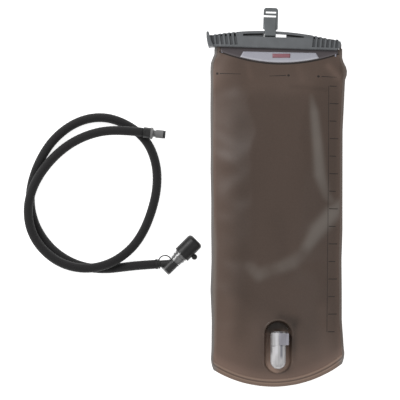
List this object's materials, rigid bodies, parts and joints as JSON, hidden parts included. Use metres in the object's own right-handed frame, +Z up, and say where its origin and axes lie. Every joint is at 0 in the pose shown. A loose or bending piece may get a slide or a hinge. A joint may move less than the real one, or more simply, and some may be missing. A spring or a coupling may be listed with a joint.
{
  "type": "hydration bladder",
  "caption": "Soft film water reservoir with a slide-on mouth bar and hanging clip, a quick-connect outlet port, and a detached insulated drinking hose with a covered bite valve.",
  "frame": {"origin": "on the resting surface under the middle of the reservoir with its bar and clip", "axes": "+Y along the bag from its outlet end towards its mouth, +Z up from the resting surface through the front film, +X to the right"},
  "size_m": [0.4247, 0.5042, 0.0276],
  "materials": {
    "bag_film": "translucent satin film",
    "flap_film": "translucent satin film",
    "label": "matt print",
    "bar_plastic": "fine satin",
    "clip_plastic": "fine satin",
    "port_clear": "frosted clear",
    "grey_plastic": "satin",
    "smoke_plastic": "translucent satin",
    "black_plastic": "satin",
    "black_rubber": "matt",
    "cover_rubber": "satin",
    "woven_sleeve": "tight plain weave",
    "tube": "gloss",
    "silicone": "satin",
    "spring_steel": "drawn wire"
  },
  "bodies": {
    "reservoir": {"front_film": "bag_film", "back_film": "bag_film", "bottom_seam": "bag_film", "mouth_core": "bar_plastic", "mouth_fold": "flap_film", "mouth_flap": "flap_film", "care_label": "label", "port_tray": "bag_film", "port_housing": "port_clear", "latch_spring": "spring_steel", "poppet_spring": "spring_steel"},
    "slider": {"slider_bar": "bar_plastic"},
    "clip": {"hanger_clip": "clip_plastic"},
    "latch": {"latch_button": "port_clear"},
    "poppet": {"poppet": "grey_plastic", "poppet_gasket": "black_rubber"},
    "hose": {"hose_sleeve": "woven_sleeve", "hose_tube": "tube", "sleeve_cuff": "black_rubber", "plug_grip": "black_plastic", "plug_body": "grey_plastic", "plug_seal": "black_rubber"},
    "elbow": {"valve_elbow": "black_plastic", "elbow_cap": "grey_plastic", "valve_tether": "black_rubber"},
    "valve_head": {"shutoff_head": "smoke_plastic", "shutoff_seal": "black_rubber", "bite_valve": "silicone"},
    "cover": {"dust_cover": "cover_rubber"}
  },
  "joints": [
    {"name": "bar_slide", "type": "slide", "parent": "reservoir", "child": "slider", "axis": [-0.9995, 0.0312, 0], "range_m": [0, 0.17]},
    {"name": "clip_swing", "type": "hinge", "parent": "slider", "child": "clip", "pos_m": [-0.00804, 0.21849, 0.0085], "axis": [0.9995, -0.0312, 0], "range_deg": [0, 90]},
    {"name": "latch_press", "type": "slide", "parent": "reservoir", "child": "latch", "axis": [-1, 0, 0], "range_m": [0, 0.0012], "stiffness_N_per_m": 900, "springref_m": -0.001, "deforming": ["latch_spring"]},
    {"name": "poppet_push", "type": "slide", "parent": "reservoir", "child": "poppet", "axis": [0, -1, 0], "range_m": [0, 0.003], "stiffness_N_per_m": 400, "springref_m": -0.002, "deforming": ["poppet_spring"]},
    {"name": "hose_free", "type": "slide", "parent": "reservoir", "child": "hose", "axis": [-1, 0, 0], "range_m": [0, 0.15]},
    {"name": "elbow_swivel", "type": "hinge", "parent": "hose", "child": "elbow", "pos_m": [-0.13675, -0.08763, 0.0116], "axis": [0.9978, 0.0665, 0], "continuous": true},
    {"name": "shutoff_twist", "type": "hinge", "parent": "elbow", "child": "valve_head", "pos_m": [-0.14763, -0.09852, 0.0116], "axis": [0.7071, 0.7071, 0], "range_deg": [0, 90]},
    {"name": "cover_pull", "type": "slide", "parent": "valve_head", "child": "cover", "axis": [0.7071, 0.7071, 0], "range_m": [0, 0.012]}
  ]
}
